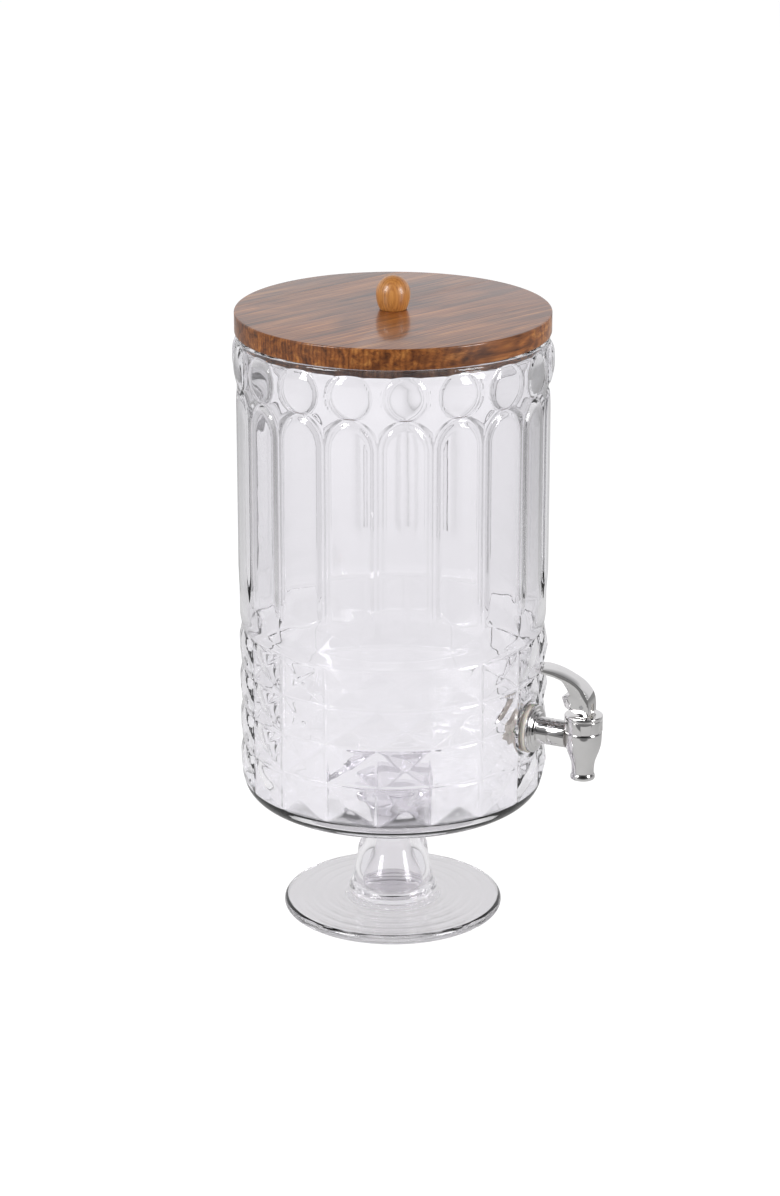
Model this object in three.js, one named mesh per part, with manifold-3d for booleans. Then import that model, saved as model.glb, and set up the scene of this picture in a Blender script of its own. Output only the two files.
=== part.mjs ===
// A clear pedestal dispenser: an embossed glass jar on a glass stem and foot, a wooden lid with a
// ball knob, and a chrome-plated lever tap. Millimetres, +Z up. The origin is the centre of the
// foot's underside, on the jar's axis. The tap is at the front, which faces -Y.
import * as THREE from "three";
import { mergeVertices } from "three/addons/utils/BufferGeometryUtils.js";
import Module from "manifold-3d";

const wasm = await Module();
wasm.setup();

// ---------------------------------------------------------------- driving dimensions
// Foot and stem.
const FOOT_RADIUS = 61.7;
const FOOT_EDGE = 5.6;
const FOOT_TOP = 8;
const STEM_TOP = 69.95;

// Jar.
const JAR_BOTTOM = 70;
const JAR_TOP = 336.5;
const BODY_RADIUS = 84;
const CORNER_RADIUS = 12;
const BOTTOM_THICKNESS = 7;
const BORE_RADIUS = 80.6;
const PANELS = 18;
const JAR_COLUMNS = PANELS * 4;

// Embossing: rows of pyramids, then arched flutes, then a ring of round medallions.
const GRID_BOTTOM = 80;
const GRID_ROWS = 4;
const ROW_HEIGHT = 22.5;
const GRID_TOP = GRID_BOTTOM + GRID_ROWS * ROW_HEIGHT;
const PYRAMID_HEIGHT = 1.8;
const FLUTE_BOTTOM = 190;
const ARCH_SPRING = 292;
const ARCH_TOP = 308;
const FLUTE_HEIGHT = 1.5;
const MEDALLION_CENTRE = 321;
const MEDALLION_HALF_WIDTH = 12;
const MEDALLION_HALF_HEIGHT = 12.5;
const MEDALLION_HEIGHT = 4.2;
const RIM_NECK = 0.7;

// Lid.
const LID_RADIUS = 86;
const LID_BOTTOM = 336.8;
const LID_TOP = 348.4;
const LID_EASE = 0.8;
const STAVE_WIDTH = 60;
const STAVE_JOINTS = [-46, 12, 61];
const GRAIN_ANGLE = THREE.MathUtils.degToRad(-22.4);
const GLUE_LINE = 0.1;
const PLUG_RADIUS = 79.6;
const PLUG_BOTTOM = 331.3;
const KNOB_BASE_RADIUS = 7.2;
const KNOB_RADIUS = 9.3;
const KNOB_WIDEST = 357.2;
const KNOB_TOP = 367;
const SCREW_RADIUS = 2;
const SCREW_HEAD_RADIUS = 4;
const SCREW_TOP = 359;

// Tap. Its horizontal axis is at TAP_HEIGHT, and its outlet stands at SPOUT_REACH from the jar's axis.
const TAP_HEIGHT = 120;
const SPOUT_REACH = 115.5;
const PAD_RADIUS = 15.5;
const PAD_OUTER = 83.2;
const PAD_INNER = 79.2;
const WALL_HOLE = 8.2;
const SHANK_RADIUS = 7.7;
const SHANK_END = 69.5;
const GASKET_THICKNESS = 2.4;
const GASKET_RADIUS = 13.6;
const NUT_ACROSS_CORNERS = 12.6;
const NUT_THICKNESS = 5;
const FLANGE_RADIUS = 13.1;
const FLANGE_THICKNESS = 2.2;
const BARREL_RADIUS = 7.4;
const BARREL_SEAM = 96.8;
const TAP_BORE = 4.3;
const SPOUT_BOTTOM = 96;
const SPOUT_SHOULDER = 124;
const NECK_TOP = 131.4;
const NECK_RADIUS = 8.9;
const CHAMBER_RADIUS = 7.6;
const SEAT_HEIGHT = 112;
const BONNET_RADIUS = 10.5;
const BONNET_BOTTOM = SPOUT_SHOULDER + 0.2;
const BONNET_TOP = 133.4;
const BONNET_LUGS = 6;

// Valve and lever.
const PIN_HEIGHT = 138.5;
const PIN_RADIUS = 1;
const PIN_HOLE = 1.15;
const STEM_RADIUS = 2.5;
const STEM_SHOULDER = 132;
const TONGUE_THICKNESS = 3;
const TONGUE_HALF_WIDTH = 1.9;
const LEVER_BASE = BONNET_TOP + 0.4;
const BLADE_WIDTH = 11;
const CHEEK_WIDTH = 8;
const FINGER_WIDTH = 13.4;
const FINGER_REACH = 86.5;
const SLOT_HALF = 1.8;
const CLEARANCE = 0.3;

// ---------------------------------------------------------------- solids
// A closed three.js geometry as a solid that can be cut and joined.
function solid(geometry) {
  const bare = geometry.clone();
  bare.deleteAttribute("normal");
  bare.deleteAttribute("uv");
  const merged = mergeVertices(bare, 1e-4);
  return new wasm.Manifold(
    new wasm.Mesh({
      numProp: 3,
      vertProperties: merged.attributes.position.array,
      triVerts: new Uint32Array(merged.index.array),
    }),
  );
}

function geometryOf(made) {
  const mesh = made.getMesh();
  return new THREE.BufferGeometry()
    .setAttribute("position", new THREE.BufferAttribute(mesh.vertProperties, 3))
    .setIndex(new THREE.BufferAttribute(mesh.triVerts, 1));
}

// A body of revolution about Z. The profile is [radius, height] points, anticlockwise with radius
// to the right: outwards along the bottom, up the outside, inwards along the top.
function lathe(profile, segments) {
  const points = profile.map(([r, z]) => new THREE.Vector2(r, z));
  if (profile[0][0] > 0) points.push(points[0].clone());
  return new THREE.LatheGeometry(points, segments).rotateX(Math.PI / 2);
}

// Points along a circular arc in the [radius, height] plane, angles in degrees, ends included.
function arc(centreR, centreZ, radius, from, to, steps) {
  return Array.from({ length: steps + 1 }, (_, i) => {
    const angle = THREE.MathUtils.degToRad(from + ((to - from) * i) / steps);
    return [centreR + radius * Math.cos(angle), centreZ + radius * Math.sin(angle)];
  });
}

function rod(radius, bottom, top, segments = 24) {
  return lathe([[0, bottom], [radius, bottom], [radius, top], [0, top]], segments);
}

function ring(inner, outer, bottom, top, segments = 32) {
  return lathe([[inner, bottom], [outer, bottom], [outer, top], [inner, top]], segments);
}

// Turns a body made about Z so that its axis is the tap's: height becomes distance out along -Y.
function alongTap(geometry) {
  return geometry.rotateX(Math.PI / 2).translate(0, 0, TAP_HEIGHT);
}

function atSpout(geometry) {
  return geometry.translate(0, -SPOUT_REACH, 0);
}

// An outline in the tap's middle plane, as [distance from the jar's axis, height] points, made
// into a plate of the given width across X.
function plate(outline, width) {
  const shape = new THREE.Shape(outline.map(([reach, z]) => new THREE.Vector2(reach, z)));
  return new THREE.ExtrudeGeometry(shape, { depth: width, bevelEnabled: false, curveSegments: 8 })
    .translate(0, 0, -width / 2)
    .rotateX(Math.PI / 2)
    .rotateZ(-Math.PI / 2);
}

// ---------------------------------------------------------------- embossing
// Where an azimuth is across its panel: 0 at the panel's middle and 1 at a groove. Panel middles
// are at whole multiples of the panel angle from the front.
function acrossPanel(azimuth) {
  const turns = (azimuth * PANELS) / (2 * Math.PI);
  return Math.abs(turns - Math.round(turns)) * 2;
}

// How far the embossing stands out of the body radius.
function embossing(azimuth, z) {
  const across = acrossPanel(azimuth);
  if (z < GRID_BOTTOM) return 0;
  if (z <= GRID_TOP) {
    const row = (z - GRID_BOTTOM) / ROW_HEIGHT;
    const alongRow = Math.abs((row % 1) * 2 - 1);
    return PYRAMID_HEIGHT * (1 - Math.max(across, alongRow));
  }
  const halfPanel = (Math.PI * BODY_RADIUS) / PANELS;
  if (z <= ARCH_TOP) {
    const rise = THREE.MathUtils.smoothstep(z, GRID_TOP, FLUTE_BOTTOM);
    const groove = z < FLUTE_BOTTOM ? 0 : 1;
    const archShare = Math.max(0, (z - ARCH_SPRING) / (ARCH_TOP - ARCH_SPRING));
    const halfWidth = Math.sqrt(Math.max(0, 1 - archShare * archShare));
    const inside = halfWidth > 0 ? across / halfWidth : 2;
    const crown = inside < 1 ? Math.sqrt(1 - inside * inside) : 0;
    return FLUTE_HEIGHT * (groove ? crown : rise);
  }
  const x = (across * halfPanel) / MEDALLION_HALF_WIDTH;
  const y = (z - MEDALLION_CENTRE) / MEDALLION_HALF_HEIGHT;
  const dome = Math.max(0, 1 - x * x - y * y);
  return RIM_NECK + (MEDALLION_HEIGHT - RIM_NECK) * Math.sqrt(dome);
}

// ---------------------------------------------------------------- jar, stem and foot
function jarOuterProfile() {
  const flat = BODY_RADIUS - CORNER_RADIUS;
  const heights = [];
  for (let i = 1; i <= GRID_ROWS * 2; i++) heights.push(GRID_BOTTOM + (i * ROW_HEIGHT) / 2);
  heights.push(180, 189.9, 190.1, 240, 285, ARCH_SPRING);
  heights.push(298, 303, 306.5, ARCH_TOP, 309.5, 312, 316, MEDALLION_CENTRE, 326, 330, 333);
  return [
    [0, JAR_BOTTOM],
    ...arc(flat, JAR_BOTTOM + CORNER_RADIUS, CORNER_RADIUS, -90, -9.6, 4),
    ...heights.map((z) => [BODY_RADIUS, z]),
    [BODY_RADIUS, JAR_TOP - 1],
    [BODY_RADIUS - 1, JAR_TOP],
  ];
}

function jarInnerProfile() {
  const floor = JAR_BOTTOM + BOTTOM_THICKNESS;
  const corner = 9;
  return [
    [BORE_RADIUS + 0.6, JAR_TOP],
    [BORE_RADIUS, JAR_TOP - 1],
    [BORE_RADIUS, floor + corner],
    ...arc(BORE_RADIUS - corner, floor + corner, corner, -30, -90, 2),
    [0, floor],
  ];
}

function embossedLathe() {
  const geometry = lathe([...jarOuterProfile(), ...jarInnerProfile()], JAR_COLUMNS);
  // Lathe columns start at an arbitrary azimuth, so the embossing is read from each vertex.
  const position = geometry.attributes.position;
  const outermostInside = BORE_RADIUS + 1;
  for (let i = 0; i < position.count; i++) {
    const point = new THREE.Vector3().fromBufferAttribute(position, i);
    const radius = Math.hypot(point.x, point.y);
    if (radius < outermostInside || point.z < GRID_BOTTOM) continue;
    const azimuth = Math.atan2(point.x, -point.y);
    const grown = (radius + embossing(azimuth, point.z)) / radius;
    position.setXY(i, point.x * grown, point.y * grown);
  }
  return geometry;
}

function makeJar() {
  const pad = alongTap(rod(PAD_RADIUS, PAD_INNER, PAD_OUTER, 32));
  const inFront = alongTap(rod(PAD_RADIUS, PAD_OUTER, PAD_OUTER + 8, 32));
  const behind = alongTap(rod(PAD_RADIUS, PAD_INNER - 8, PAD_INNER, 32));
  const hole = alongTap(rod(WALL_HOLE, PAD_INNER - 10, PAD_OUTER + 5, 24));
  return geometryOf(
    solid(embossedLathe())
      .add(solid(pad))
      .subtract(solid(inFront))
      .subtract(solid(behind))
      .subtract(solid(hole)),
  );
}

// A hollow spool: it flares to the jar's bottom and to a rounded ring on the foot.
function makeStem() {
  const outside = new THREE.CatmullRomCurve3(
    [[27, STEM_TOP], [21.5, 60], [18.8, 47], [19.3, 37], [20.9, 25], [23, 15.5], [24.4, 11]].map(
      ([r, z]) => new THREE.Vector3(r, z, 0),
    ),
  ).getPoints(9);
  const inside = new THREE.CatmullRomCurve3(
    [[15.8, FOOT_TOP + 0.05], [15.6, 16], [13.8, 26], [10.2, 38], [9, 50], [11, STEM_TOP]].map(
      ([r, z]) => new THREE.Vector3(r, z, 0),
    ),
  ).getPoints(7);
  return lathe(
    [
      [23.4, FOOT_TOP + 0.05],
      [24.6, 9.3],
      ...outside.reverse().map((p) => [p.x, p.y]),
      ...inside.reverse().map((p) => [p.x, p.y]),
    ],
    36,
  );
}

function makeFoot() {
  const round = FOOT_EDGE / 2;
  return lathe(
    [
      [0, 0],
      ...arc(FOOT_RADIUS - round, round, round, -90, 75, 5),
      [45, 6.2],
      [31, 7.1],
      [27, FOOT_TOP],
      [0, FOOT_TOP],
    ],
    56,
  );
}

// ---------------------------------------------------------------- lid
function screwHole() {
  return solid(rod(SCREW_RADIUS + CLEARANCE, PLUG_BOTTOM - 1, LID_TOP + 1, 16));
}

function makeStave(index) {
  const board = lathe(
    [
      [0, LID_BOTTOM],
      [LID_RADIUS - LID_EASE, LID_BOTTOM],
      [LID_RADIUS, LID_BOTTOM + LID_EASE],
      [LID_RADIUS, LID_TOP - LID_EASE],
      [LID_RADIUS - LID_EASE, LID_TOP],
      [0, LID_TOP],
    ],
    80,
  );
  const low = (STAVE_JOINTS[index - 1] ?? STAVE_JOINTS[0] - STAVE_WIDTH) + GLUE_LINE / 2;
  const high = (STAVE_JOINTS[index] ?? STAVE_JOINTS.at(-1) + STAVE_WIDTH) - GLUE_LINE / 2;
  const slab = new THREE.BoxGeometry(3 * LID_RADIUS, high - low, 60)
    .translate(0, (low + high) / 2, LID_TOP)
    .rotateZ(GRAIN_ANGLE);
  return geometryOf(solid(board).intersect(solid(slab)).subtract(screwHole()));
}

function makePlug() {
  const disc = lathe(
    [
      [0, PLUG_BOTTOM],
      [PLUG_RADIUS - LID_EASE, PLUG_BOTTOM],
      [PLUG_RADIUS, PLUG_BOTTOM + LID_EASE],
      [PLUG_RADIUS, LID_BOTTOM - 0.05],
      [0, LID_BOTTOM - 0.05],
    ],
    72,
  );
  const countersink = rodCone(PLUG_BOTTOM - 0.1, PLUG_BOTTOM + 2.6, CLEARANCE);
  return geometryOf(solid(disc).subtract(screwHole()).subtract(solid(countersink)));
}

// The countersunk head's cone, grown by a clearance.
function rodCone(bottom, top, gap) {
  const profile = [
    [0, bottom],
    [SCREW_HEAD_RADIUS + gap, bottom],
    [SCREW_RADIUS + gap, top],
    [0, top],
  ];
  return lathe(profile, 24);
}

function makeKnob() {
  const base = LID_TOP + 0.05;
  const lowerStretch = (KNOB_WIDEST - base) / Math.sqrt(1 - (KNOB_BASE_RADIUS / KNOB_RADIUS) ** 2);
  const lower = [0, 0.25, 0.5, 0.75, 1].map((share) => {
    const z = base + share * (KNOB_WIDEST - base);
    return [KNOB_RADIUS * Math.sqrt(1 - ((KNOB_WIDEST - z) / lowerStretch) ** 2), z];
  });
  const upper = arc(0, 0, 1, 15, 90, 5).map(([x, y]) => [
    Math.max(0, KNOB_RADIUS * x),
    KNOB_WIDEST + (KNOB_TOP - KNOB_WIDEST) * y,
  ]);
  upper[upper.length - 1][0] = 0;
  const ball = lathe([[0, base], ...lower, ...upper], 28);
  const pilot = rod(SCREW_RADIUS + 0.15, base - 1, SCREW_TOP + 0.5, 16);
  return geometryOf(solid(ball).subtract(solid(pilot)));
}

function makeKnobScrew() {
  return lathe(
    [
      [0, PLUG_BOTTOM + 0.1],
      [SCREW_HEAD_RADIUS, PLUG_BOTTOM + 0.1],
      [SCREW_RADIUS, PLUG_BOTTOM + 2.4],
      [SCREW_RADIUS, SCREW_TOP - 2.5],
      [0, SCREW_TOP],
    ],
    20,
  );
}

// ---------------------------------------------------------------- tap
function tapChannel() {
  return solid(alongTap(rod(TAP_BORE, SHANK_END - 2, SPOUT_REACH - 2, 20)));
}

// The threaded shank, its flange and the first part of the barrel, up to the seam.
function makeTapShank() {
  const flangeBack = PAD_OUTER + GASKET_THICKNESS + 0.1;
  const flangeFront = flangeBack + FLANGE_THICKNESS;
  const outside = lathe(
    [
      [0, SHANK_END],
      [SHANK_RADIUS - 0.8, SHANK_END],
      [SHANK_RADIUS, SHANK_END + 0.8],
      [SHANK_RADIUS, flangeBack],
      [FLANGE_RADIUS, flangeBack],
      [FLANGE_RADIUS, flangeFront - 0.8],
      [FLANGE_RADIUS - 1, flangeFront],
      [10, flangeFront],
      [9.4, flangeFront + 1.6],
      [BARREL_RADIUS, flangeFront + 1.8],
      [BARREL_RADIUS, BARREL_SEAM - 0.5],
      [BARREL_RADIUS - 0.4, BARREL_SEAM - 0.05],
      [0, BARREL_SEAM - 0.05],
    ],
    28,
  );
  return geometryOf(solid(alongTap(outside)).subtract(tapChannel()));
}

// The rest of the barrel and the upright valve body with its spout.
function makeTapBody() {
  const stub = lathe(
    [
      [0, BARREL_SEAM + 0.05],
      [BARREL_RADIUS - 0.4, BARREL_SEAM + 0.05],
      [BARREL_RADIUS, BARREL_SEAM + 0.5],
      [BARREL_RADIUS, SPOUT_REACH - 4],
      [0, SPOUT_REACH - 4],
    ],
    28,
  );
  const spout = lathe(
    [
      [0, SPOUT_BOTTOM],
      [6.2, SPOUT_BOTTOM],
      [6.7, SPOUT_BOTTOM + 0.6],
      [6.6, 98.8],
      [6.3, 99.6],
      [6.4, 104],
      [7.2, 108],
      [8.7, 112],
      [9.7, 116],
      [10.2, 120],
      [10.2, SPOUT_SHOULDER],
      [NECK_RADIUS, SPOUT_SHOULDER],
      [NECK_RADIUS, NECK_TOP],
      [0, NECK_TOP],
    ],
    28,
  );
  const bore = lathe(
    [
      [0, SPOUT_BOTTOM - 2],
      [4.9, SPOUT_BOTTOM - 2],
      [4.5, 100],
      [4.5, SEAT_HEIGHT - 2],
      [CHAMBER_RADIUS, SEAT_HEIGHT + 1],
      [CHAMBER_RADIUS, NECK_TOP + 2],
      [0, NECK_TOP + 2],
    ],
    28,
  );
  const bonnetRoom = rod(BONNET_RADIUS + CLEARANCE, SPOUT_SHOULDER, BONNET_TOP + 2, 36);
  return geometryOf(
    solid(alongTap(stub))
      .subtract(solid(atSpout(bonnetRoom)))
      .add(solid(atSpout(spout)))
      .subtract(tapChannel())
      .subtract(solid(atSpout(bore))),
  );
}

function makeGasket(back) {
  return alongTap(
    lathe(
      [
        [SHANK_RADIUS + CLEARANCE, back],
        [GASKET_RADIUS - 0.5, back],
        [GASKET_RADIUS, back + GASKET_THICKNESS / 2],
        [GASKET_RADIUS - 0.5, back + GASKET_THICKNESS],
        [SHANK_RADIUS + CLEARANCE, back + GASKET_THICKNESS],
      ],
      32,
    ),
  );
}

function makeNut() {
  const front = PAD_INNER - GASKET_THICKNESS - 0.15;
  const hexagon = rod(NUT_ACROSS_CORNERS, front - NUT_THICKNESS, front - 1.8, 6);
  const washerFace = rod(GASKET_RADIUS - 0.6, front - 1.8, front, 32);
  const hole = rod(SHANK_RADIUS + CLEARANCE, front - NUT_THICKNESS - 1, front + 1, 28);
  return geometryOf(
    solid(alongTap(hexagon)).add(solid(alongTap(washerFace))).subtract(solid(alongTap(hole))),
  );
}

function makeBonnet() {
  const cap = lathe(
    [
      [NECK_RADIUS + CLEARANCE, BONNET_BOTTOM],
      [BONNET_RADIUS, BONNET_BOTTOM],
      [BONNET_RADIUS, BONNET_TOP - 1.2],
      [BONNET_RADIUS - 1.2, BONNET_TOP],
      [STEM_RADIUS + CLEARANCE, BONNET_TOP],
      [STEM_RADIUS + CLEARANCE, NECK_TOP + 0.15],
      [NECK_RADIUS + CLEARANCE, NECK_TOP + 0.15],
    ],
    36,
  );
  let made = solid(atSpout(cap));
  // Finger notches: shallow windows round the lower half of the skirt.
  for (let i = 0; i < BONNET_LUGS; i++) {
    const notch = new THREE.BoxGeometry(4.6, 2, 4)
      .translate(0, -BONNET_RADIUS - 0.6, BONNET_BOTTOM + 1.2)
      .rotateZ((i * 2 * Math.PI) / BONNET_LUGS);
    made = made.subtract(solid(atSpout(notch)));
  }
  return geometryOf(made);
}

// A soft stopper that closes the spout's bore from above.
function makeSeatPlug() {
  const low = SEAT_HEIGHT - 1.2;
  const profile = [
    [0, low],
    [4, low],
    [6.6, SEAT_HEIGHT + 1.6],
    [6.6, SEAT_HEIGHT + 4.5],
    [5, 119.6],
    [STEM_RADIUS + CLEARANCE, 119.6],
    [STEM_RADIUS + CLEARANCE, 114.2],
    [0, 114.2],
  ];
  return atSpout(lathe(profile, 24));
}

// A round stem with a collar that carries the spring, and a flat tongue for the lever's pin.
function makeValveStem() {
  const shaft = lathe(
    [
      [0, 114.5],
      [STEM_RADIUS, 114.5],
      [STEM_RADIUS, 119.9],
      [6.4, 119.9],
      [6.4, 121.1],
      [STEM_RADIUS, 121.1],
      [STEM_RADIUS, STEM_SHOULDER],
      [0, STEM_SHOULDER],
    ],
    20,
  );
  const tongue = plate(
    [
      [SPOUT_REACH - TONGUE_HALF_WIDTH, STEM_SHOULDER - 1],
      [SPOUT_REACH + TONGUE_HALF_WIDTH, STEM_SHOULDER - 1],
      ...arc(SPOUT_REACH, PIN_HEIGHT, TONGUE_HALF_WIDTH, 0, 180, 6),
    ],
    TONGUE_THICKNESS,
  );
  return geometryOf(solid(atSpout(shaft)).add(solid(tongue)).subtract(pinHole()));
}

function makeStemSeal() {
  const top = NECK_TOP + 0.05;
  return atSpout(ring(STEM_RADIUS + 0.1, 4.2, top - 1.5, top, 20));
}

// A coil spring between the stem's collar and the bonnet.
function makeSpring() {
  const wire = 0.45;
  const coil = 5.5;
  const low = 121.1 + wire + 0.1;
  const high = NECK_TOP - wire - 0.1;
  const turns = 4.5;
  const points = Array.from({ length: 64 }, (_, i) => {
    const share = i / 63;
    const angle = share * turns * 2 * Math.PI;
    const x = coil * Math.cos(angle);
    return new THREE.Vector3(x, coil * Math.sin(angle), low + share * (high - low));
  });
  const section = new THREE.Shape().absarc(0, 0, wire, 0, 2 * Math.PI, false);
  const path = new THREE.CatmullRomCurve3(points);
  return atSpout(
    new THREE.ExtrudeGeometry(section, { extrudePath: path, steps: 54, curveSegments: 3 }),
  );
}

// ---------------------------------------------------------------- lever
function pinHole() {
  const hole = rod(PIN_HOLE, -20, 20, 16).rotateY(Math.PI / 2);
  return solid(hole.translate(0, -SPOUT_REACH, PIN_HEIGHT));
}

// The strip that the finger works: up from the tap's cap, then back over towards the jar.
function bladeOutline() {
  const outer = new THREE.CatmullRomCurve3(
    [[120.5, 141], [118.2, 147.4], [112.5, 152.2], [103.5, 156.1], [95, 157.7], [86.6, 157.9]].map(
      ([reach, z]) => new THREE.Vector3(reach, z, 0),
    ),
  ).getPoints(12);
  const inner = new THREE.CatmullRomCurve3(
    [[86.6, 155.3], [95, 155], [102.8, 153.4], [110.5, 149.7], [115.3, 145.6], [117.4, 141]].map(
      ([reach, z]) => new THREE.Vector3(reach, z, 0),
    ),
  ).getPoints(12);
  return [
    [117.4, LEVER_BASE],
    [119.3, LEVER_BASE],
    [120.5, LEVER_BASE + 1.2],
    ...outer.map((p) => [p.x, p.y]),
    ...inner.map((p) => [p.x, p.y]),
  ];
}

// The stiffening web under the blade, down to a notch, and the cam block that bears on the cap.
function webOutline() {
  return [
    [101, 154.6],
    [104.6, 150],
    [107, 147],
    [108.6, 144.4],
    [104.4, 143],
    [105.6, 137.4],
    [112, LEVER_BASE + 0.6],
    [114, LEVER_BASE],
    [118.5, LEVER_BASE],
    [118.5, 142],
    [116, 147],
    [110, 151.5],
  ];
}

function makeLever() {
  // The slot clears the stem's tongue, which leans out through the strip as the lever rocks.
  const slot = plate(
    [
      [112.2, LEVER_BASE - 3],
      [123, LEVER_BASE - 3],
      [123, 139.2],
      [118.8, 140.6],
      [117.4, 142],
      [113, 142],
      [112.2, 140],
    ],
    2 * SLOT_HALF,
  );
  // In plan the strip widens to a half round finger end.
  const round = FINGER_WIDTH / 2;
  const half = BLADE_WIDTH / 2;
  const plan = [
    ...arc(0, -FINGER_REACH - round, round, 180, 0, 10),
    [half, -108],
    [half, -SPOUT_REACH - 10],
    [-half, -SPOUT_REACH - 10],
    [-half, -108],
  ].map(([x, y]) => new THREE.Vector2(x, y));
  const column = new THREE.ExtrudeGeometry(new THREE.Shape(plan), { depth: 60, bevelEnabled: false })
    .translate(0, 0, TAP_HEIGHT);
  return geometryOf(
    solid(plate(bladeOutline(), FINGER_WIDTH))
      .intersect(solid(column))
      .add(solid(plate(webOutline(), CHEEK_WIDTH)))
      .subtract(solid(slot))
      .subtract(pinHole()),
  );
}

function makeLeverPin() {
  const half = CHEEK_WIDTH / 2 - 0.1;
  return rod(PIN_RADIUS, -half, half, 16)
    .rotateY(Math.PI / 2)
    .translate(0, -SPOUT_REACH, PIN_HEIGHT);
}

// ---------------------------------------------------------------- assembly
const glass = { color: 0xe6e4ea, roughness: 0.03, metalness: 0 };
const darkWood = { color: 0x8f5f3c, roughness: 0.45, metalness: 0 };
const paleWood = { color: 0xb98048, roughness: 0.5, metalness: 0 };
const chrome = { color: 0xd9d9dc, roughness: 0.08, metalness: 1 };
const silicone = { color: 0xdcd2c4, roughness: 0.5, metalness: 0 };
const whitePlastic = { color: 0xe9e6e0, roughness: 0.4, metalness: 0 };
const steel = { color: 0xb4b6b8, roughness: 0.3, metalness: 1 };

function piece(name, geometry, finish) {
  const mesh = new THREE.Mesh(geometry, new THREE.MeshStandardMaterial(finish));
  mesh.name = name;
  return mesh;
}

const vessel = new THREE.Group().add(
  piece("jar", makeJar(), glass),
  piece("pedestal_stem", makeStem(), glass),
  piece("pedestal_foot", makeFoot(), glass),
);

const lid = new THREE.Group().add(
  piece("lid_plug", makePlug(), darkWood),
  piece("lid_knob", makeKnob(), paleWood),
  piece("knob_screw", makeKnobScrew(), steel),
);
for (let i = 0; i <= STAVE_JOINTS.length; i++) {
  lid.add(piece(`lid_stave_${i + 1}`, makeStave(i), darkWood));
}

const tap = new THREE.Group().add(
  piece("tap_shank", makeTapShank(), chrome),
  piece("tap_body", makeTapBody(), chrome),
  piece("outer_gasket", makeGasket(PAD_OUTER + 0.05), silicone),
  piece("inner_gasket", makeGasket(PAD_INNER - GASKET_THICKNESS - 0.05), silicone),
  piece("lock_nut", makeNut(), whitePlastic),
  piece("bonnet", makeBonnet(), chrome),
  piece("seat_plug", makeSeatPlug(), silicone),
  piece("valve_stem", makeValveStem(), whitePlastic),
  piece("stem_seal", makeStemSeal(), silicone),
  piece("return_spring", makeSpring(), steel),
  piece("lever", makeLever(), chrome),
  piece("lever_pin", makeLeverPin(), steel),
);

const dispenser = new THREE.Group().add(vessel, lid, tap);
export default dispenser;
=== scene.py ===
"""Looks for a glass drinks dispenser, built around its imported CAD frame.

Lengths of the object are millimetres until a mesh is made, when they become metres. The studio's are
metres. The object stands on z = 0 on its own axis, and its tap faces -Y, as in the CAD part.
"""

import math

import bmesh
import bpy
import numpy as np
from mathutils import Matrix, Vector


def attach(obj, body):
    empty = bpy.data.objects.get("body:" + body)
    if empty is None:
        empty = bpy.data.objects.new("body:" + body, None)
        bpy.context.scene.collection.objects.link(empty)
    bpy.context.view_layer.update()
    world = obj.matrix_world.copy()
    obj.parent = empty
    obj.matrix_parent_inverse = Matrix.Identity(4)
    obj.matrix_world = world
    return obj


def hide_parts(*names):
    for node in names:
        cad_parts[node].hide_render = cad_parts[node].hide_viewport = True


MM = 0.001

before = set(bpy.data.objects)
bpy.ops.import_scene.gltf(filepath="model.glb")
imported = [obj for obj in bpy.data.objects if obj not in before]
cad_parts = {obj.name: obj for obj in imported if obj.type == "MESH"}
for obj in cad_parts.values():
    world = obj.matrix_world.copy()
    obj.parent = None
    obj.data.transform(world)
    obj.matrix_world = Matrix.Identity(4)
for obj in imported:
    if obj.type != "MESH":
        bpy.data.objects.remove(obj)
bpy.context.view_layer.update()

# ---------------------------------------------------------------- dimensions
PANELS = 18
BODY_RADIUS = 84.0
BORE_RADIUS = 80.6
JAR_BOTTOM, JAR_TOP = 70.0, 336.5
JAR_FLOOR = 75.0
CORNER = 12.0
GRID_BOTTOM, ROW_HEIGHT, GRID_ROWS = 80.0, 22.5, 4
GRID_TOP = GRID_BOTTOM + ROW_HEIGHT * GRID_ROWS
FLUTE_BOTTOM, ARCH_SPRING, ARCH_TOP = 188.0, 292.0, 308.0
MEDALLION_Z, MEDALLION_WIDE, MEDALLION_TALL = 321.3, 11.8, 12.6
TAP_Z, SPOUT_REACH = 120.0, 115.5
PAD_RADIUS, PAD_OUTER, PAD_INNER, WALL_HOLE = 15.5, 83.2, 79.2, 8.2
LID_RADIUS, LID_BOTTOM, LID_TOP = 86.0, 336.8, 348.4
GRAIN_ANGLE = math.radians(-22.4)
STAVE_JOINTS = (-46.0, 12.0, 61.0)


# ---------------------------------------------------------------- mesh helpers
def new_object(name, verts, faces, smooth_angle=35):
    """An object in metres from vertices in millimetres, with its normals facing out."""
    mesh = bpy.data.meshes.new(name)
    mesh.from_pydata([tuple(v) for v in np.asarray(verts, float) * MM], [], faces)
    mesh.update()
    work = bmesh.new()
    work.from_mesh(mesh)
    bmesh.ops.recalc_face_normals(work, faces=work.faces)
    work.to_mesh(mesh)
    work.free()
    soften(mesh, smooth_angle)
    obj = bpy.data.objects.new(name, mesh)
    bpy.context.scene.collection.objects.link(obj)
    return obj


def soften(mesh, angle):
    """Smooth shading, with edges sharper than the angle left sharp."""
    mesh.shade_smooth()
    mesh.set_sharp_from_angle(angle=math.radians(angle))


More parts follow.
